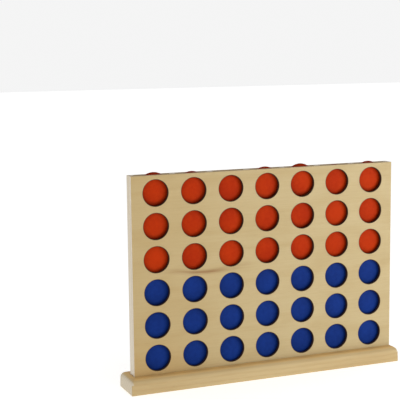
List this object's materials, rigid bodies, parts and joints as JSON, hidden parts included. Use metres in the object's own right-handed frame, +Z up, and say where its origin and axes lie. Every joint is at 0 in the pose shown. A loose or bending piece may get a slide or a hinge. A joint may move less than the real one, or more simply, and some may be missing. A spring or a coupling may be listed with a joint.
{
  "type": "four in a row frame",
  "caption": "Upright wooden four-in-a-row game: a frame of round-windowed panels lifts off a grooved base board and holds red and blue discs in columns.",
  "frame": {"origin": "centre of the base board's underside", "axes": "+X along the columns from column 1 to column 7, +Y from the front panel to the rear panel, +Z up"},
  "size_m": [0.226, 0.028, 0.1633],
  "materials": {
    "panel_wood": "satin clear-coated plywood",
    "strip_wood": "satin bare wood",
    "base_wood": "satin clear-coated pine",
    "red_paint": "satin orange-red paint on wood",
    "blue_paint": "satin blue paint on wood"
  },
  "bodies": {
    "base": {"base_board": "base_wood"},
    "frame": {"front_panel": "panel_wood", "rear_panel": "panel_wood", "left_end_strip": "strip_wood", "strip_1_2": "strip_wood", "strip_2_3": "strip_wood", "strip_3_4": "strip_wood", "strip_4_5": "strip_wood", "strip_5_6": "strip_wood", "strip_6_7": "strip_wood", "right_end_strip": "strip_wood"},
    "disc_col1_row1_blue": {"disc_col1_row1_blue": "blue_paint"},
    "disc_col1_row2_blue": {"disc_col1_row2_blue": "blue_paint"},
    "disc_col1_row3_blue": {"disc_col1_row3_blue": "blue_paint"},
    "disc_col1_row4_red": {"disc_col1_row4_red": "red_paint"},
    "disc_col1_row5_red": {"disc_col1_row5_red": "red_paint"},
    "disc_col1_row6_red": {"disc_col1_row6_red": "red_paint"},
    "disc_col2_row1_blue": {"disc_col2_row1_blue": "blue_paint"},
    "disc_col2_row2_blue": {"disc_col2_row2_blue": "blue_paint"},
    "disc_col2_row3_blue": {"disc_col2_row3_blue": "blue_paint"},
    "disc_col2_row4_red": {"disc_col2_row4_red": "red_paint"},
    "disc_col2_row5_red": {"disc_col2_row5_red": "red_paint"},
    "disc_col2_row6_red": {"disc_col2_row6_red": "red_paint"},
    "disc_col3_row1_blue": {"disc_col3_row1_blue": "blue_paint"},
    "disc_col3_row2_blue": {"disc_col3_row2_blue": "blue_paint"},
    "disc_col3_row3_blue": {"disc_col3_row3_blue": "blue_paint"},
    "disc_col3_row4_red": {"disc_col3_row4_red": "red_paint"},
    "disc_col3_row5_red": {"disc_col3_row5_red": "red_paint"},
    "disc_col3_row6_red": {"disc_col3_row6_red": "red_paint"},
    "disc_col4_row1_blue": {"disc_col4_row1_blue": "blue_paint"},
    "disc_col4_row2_blue": {"disc_col4_row2_blue": "blue_paint"},
    "disc_col4_row3_blue": {"disc_col4_row3_blue": "blue_paint"},
    "disc_col4_row4_red": {"disc_col4_row4_red": "red_paint"},
    "disc_col4_row5_red": {"disc_col4_row5_red": "red_paint"},
    "disc_col4_row6_red": {"disc_col4_row6_red": "red_paint"},
    "disc_col5_row1_blue": {"disc_col5_row1_blue": "blue_paint"},
    "disc_col5_row2_blue": {"disc_col5_row2_blue": "blue_paint"},
    "disc_col5_row3_blue": {"disc_col5_row3_blue": "blue_paint"},
    "disc_col5_row4_red": {"disc_col5_row4_red": "red_paint"},
    "disc_col5_row5_red": {"disc_col5_row5_red": "red_paint"},
    "disc_col5_row6_red": {"disc_col5_row6_red": "red_paint"},
    "disc_col6_row1_blue": {"disc_col6_row1_blue": "blue_paint"},
    "disc_col6_row2_blue": {"disc_col6_row2_blue": "blue_paint"},
    "disc_col6_row3_blue": {"disc_col6_row3_blue": "blue_paint"},
    "disc_col6_row4_red": {"disc_col6_row4_red": "red_paint"},
    "disc_col6_row5_red": {"disc_col6_row5_red": "red_paint"},
    "disc_col6_row6_red": {"disc_col6_row6_red": "red_paint"},
    "disc_col7_row1_blue": {"disc_col7_row1_blue": "blue_paint"},
    "disc_col7_row2_blue": {"disc_col7_row2_blue": "blue_paint"},
    "disc_col7_row3_blue": {"disc_col7_row3_blue": "blue_paint"},
    "disc_col7_row4_red": {"disc_col7_row4_red": "red_paint"},
    "disc_col7_row5_red": {"disc_col7_row5_red": "red_paint"},
    "disc_col7_row6_red": {"disc_col7_row6_red": "red_paint"}
  },
  "joints": [
    {"name": "frame_lift", "type": "slide", "parent": "base", "child": "frame", "axis": [0, 0, 1], "range_m": [0, 0.17]},
    {"name": "disc_col1_row1_blue_lift", "type": "slide", "parent": "base", "child": "disc_col1_row1_blue", "axis": [0, 0, 1], "range_m": [0, 0.154]},
    {"name": "disc_col1_row2_blue_lift", "type": "slide", "parent": "disc_col1_row1_blue", "child": "disc_col1_row2_blue", "axis": [0, 0, 1], "range_m": [0, 0.129]},
    {"name": "disc_col1_row3_blue_lift", "type": "slide", "parent": "disc_col1_row2_blue", "child": "disc_col1_row3_blue", "axis": [0, 0, 1], "range_m": [0, 0.104]},
    {"name": "disc_col1_row4_red_lift", "type": "slide", "parent": "disc_col1_row3_blue", "child": "disc_col1_row4_red", "axis": [0, 0, 1], "range_m": [0, 0.079]},
    {"name": "disc_col1_row5_red_lift", "type": "slide", "parent": "disc_col1_row4_red", "child": "disc_col1_row5_red", "axis": [0, 0, 1], "range_m": [0, 0.054]},
    {"name": "disc_col1_row6_red_lift", "type": "slide", "parent": "disc_col1_row5_red", "child": "disc_col1_row6_red", "axis": [0, 0, 1], "range_m": [0, 0.029]},
    {"name": "disc_col2_row1_blue_lift", "type": "slide", "parent": "base", "child": "disc_col2_row1_blue", "axis": [0, 0, 1], "range_m": [0, 0.154]},
    {"name": "disc_col2_row2_blue_lift", "type": "slide", "parent": "disc_col2_row1_blue", "child": "disc_col2_row2_blue", "axis": [0, 0, 1], "range_m": [0, 0.129]},
    {"name": "disc_col2_row3_blue_lift", "type": "slide", "parent": "disc_col2_row2_blue", "child": "disc_col2_row3_blue", "axis": [0, 0, 1], "range_m": [0, 0.104]},
    {"name": "disc_col2_row4_red_lift", "type": "slide", "parent": "disc_col2_row3_blue", "child": "disc_col2_row4_red", "axis": [0, 0, 1], "range_m": [0, 0.079]},
    {"name": "disc_col2_row5_red_lift", "type": "slide", "parent": "disc_col2_row4_red", "child": "disc_col2_row5_red", "axis": [0, 0, 1], "range_m": [0, 0.054]},
    {"name": "disc_col2_row6_red_lift", "type": "slide", "parent": "disc_col2_row5_red", "child": "disc_col2_row6_red", "axis": [0, 0, 1], "range_m": [0, 0.029]},
    {"name": "disc_col3_row1_blue_lift", "type": "slide", "parent": "base", "child": "disc_col3_row1_blue", "axis": [0, 0, 1], "range_m": [0, 0.154]},
    {"name": "disc_col3_row2_blue_lift", "type": "slide", "parent": "disc_col3_row1_blue", "child": "disc_col3_row2_blue", "axis": [0, 0, 1], "range_m": [0, 0.129]},
    {"name": "disc_col3_row3_blue_lift", "type": "slide", "parent": "disc_col3_row2_blue", "child": "disc_col3_row3_blue", "axis": [0, 0, 1], "range_m": [0, 0.104]},
    {"name": "disc_col3_row4_red_lift", "type": "slide", "parent": "disc_col3_row3_blue", "child": "disc_col3_row4_red", "axis": [0, 0, 1], "range_m": [0, 0.079]},
    {"name": "disc_col3_row5_red_lift", "type": "slide", "parent": "disc_col3_row4_red", "child": "disc_col3_row5_red", "axis": [0, 0, 1], "range_m": [0, 0.054]},
    {"name": "disc_col3_row6_red_lift", "type": "slide", "parent": "disc_col3_row5_red", "child": "disc_col3_row6_red", "axis": [0, 0, 1], "range_m": [0, 0.029]},
    {"name": "disc_col4_row1_blue_lift", "type": "slide", "parent": "base", "child": "disc_col4_row1_blue", "axis": [0, 0, 1], "range_m": [0, 0.154]},
    {"name": "disc_col4_row2_blue_lift", "type": "slide", "parent": "disc_col4_row1_blue", "child": "disc_col4_row2_blue", "axis": [0, 0, 1], "range_m": [0, 0.129]},
    {"name": "disc_col4_row3_blue_lift", "type": "slide", "parent": "disc_col4_row2_blue", "child": "disc_col4_row3_blue", "axis": [0, 0, 1], "range_m": [0, 0.104]},
    {"name": "disc_col4_row4_red_lift", "type": "slide", "parent": "disc_col4_row3_blue", "child": "disc_col4_row4_red", "axis": [0, 0, 1], "range_m": [0, 0.079]},
    {"name": "disc_col4_row5_red_lift", "type": "slide", "parent": "disc_col4_row4_red", "child": "disc_col4_row5_red", "axis": [0, 0, 1], "range_m": [0, 0.054]},
    {"name": "disc_col4_row6_red_lift", "type": "slide", "parent": "disc_col4_row5_red", "child": "disc_col4_row6_red", "axis": [0, 0, 1], "range_m": [0, 0.029]},
    {"name": "disc_col5_row1_blue_lift", "type": "slide", "parent": "base", "child": "disc_col5_row1_blue", "axis": [0, 0, 1], "range_m": [0, 0.154]},
    {"name": "disc_col5_row2_blue_lift", "type": "slide", "parent": "disc_col5_row1_blue", "child": "disc_col5_row2_blue", "axis": [0, 0, 1], "range_m": [0, 0.129]},
    {"name": "disc_col5_row3_blue_lift", "type": "slide", "parent": "disc_col5_row2_blue", "child": "disc_col5_row3_blue", "axis": [0, 0, 1], "range_m": [0, 0.104]},
    {"name": "disc_col5_row4_red_lift", "type": "slide", "parent": "disc_col5_row3_blue", "child": "disc_col5_row4_red", "axis": [0, 0, 1], "range_m": [0, 0.079]},
    {"name": "disc_col5_row5_red_lift", "type": "slide", "parent": "disc_col5_row4_red", "child": "disc_col5_row5_red", "axis": [0, 0, 1], "range_m": [0, 0.054]},
    {"name": "disc_col5_row6_red_lift", "type": "slide", "parent": "disc_col5_row5_red", "child": "disc_col5_row6_red", "axis": [0, 0, 1], "range_m": [0, 0.029]},
    {"name": "disc_col6_row1_blue_lift", "type": "slide", "parent": "base", "child": "disc_col6_row1_blue", "axis": [0, 0, 1], "range_m": [0, 0.154]},
    {"name": "disc_col6_row2_blue_lift", "type": "slide", "parent": "disc_col6_row1_blue", "child": "disc_col6_row2_blue", "axis": [0, 0, 1], "range_m": [0, 0.129]},
    {"name": "disc_col6_row3_blue_lift", "type": "slide", "parent": "disc_col6_row2_blue", "child": "disc_col6_row3_blue", "axis": [0, 0, 1], "range_m": [0, 0.104]},
    {"name": "disc_col6_row4_red_lift", "type": "slide", "parent": "disc_col6_row3_blue", "child": "disc_col6_row4_red", "axis": [0, 0, 1], "range_m": [0, 0.079]},
    {"name": "disc_col6_row5_red_lift", "type": "slide", "parent": "disc_col6_row4_red", "child": "disc_col6_row5_red", "axis": [0, 0, 1], "range_m": [0, 0.054]},
    {"name": "disc_col6_row6_red_lift", "type": "slide", "parent": "disc_col6_row5_red", "child": "disc_col6_row6_red", "axis": [0, 0, 1], "range_m": [0, 0.029]},
    {"name": "disc_col7_row1_blue_lift", "type": "slide", "parent": "base", "child": "disc_col7_row1_blue", "axis": [0, 0, 1], "range_m": [0, 0.154]},
    {"name": "disc_col7_row2_blue_lift", "type": "slide", "parent": "disc_col7_row1_blue", "child": "disc_col7_row2_blue", "axis": [0, 0, 1], "range_m": [0, 0.129]},
    {"name": "disc_col7_row3_blue_lift", "type": "slide", "parent": "disc_col7_row2_blue", "child": "disc_col7_row3_blue", "axis": [0, 0, 1], "range_m": [0, 0.104]},
    {"name": "disc_col7_row4_red_lift", "type": "slide", "parent": "disc_col7_row3_blue", "child": "disc_col7_row4_red", "axis": [0, 0, 1], "range_m": [0, 0.079]},
    {"name": "disc_col7_row5_red_lift", "type": "slide", "parent": "disc_col7_row4_red", "child": "disc_col7_row5_red", "axis": [0, 0, 1], "range_m": [0, 0.054]},
    {"name": "disc_col7_row6_red_lift", "type": "slide", "parent": "disc_col7_row5_red", "child": "disc_col7_row6_red", "axis": [0, 0, 1], "range_m": [0, 0.029]}
  ]
}
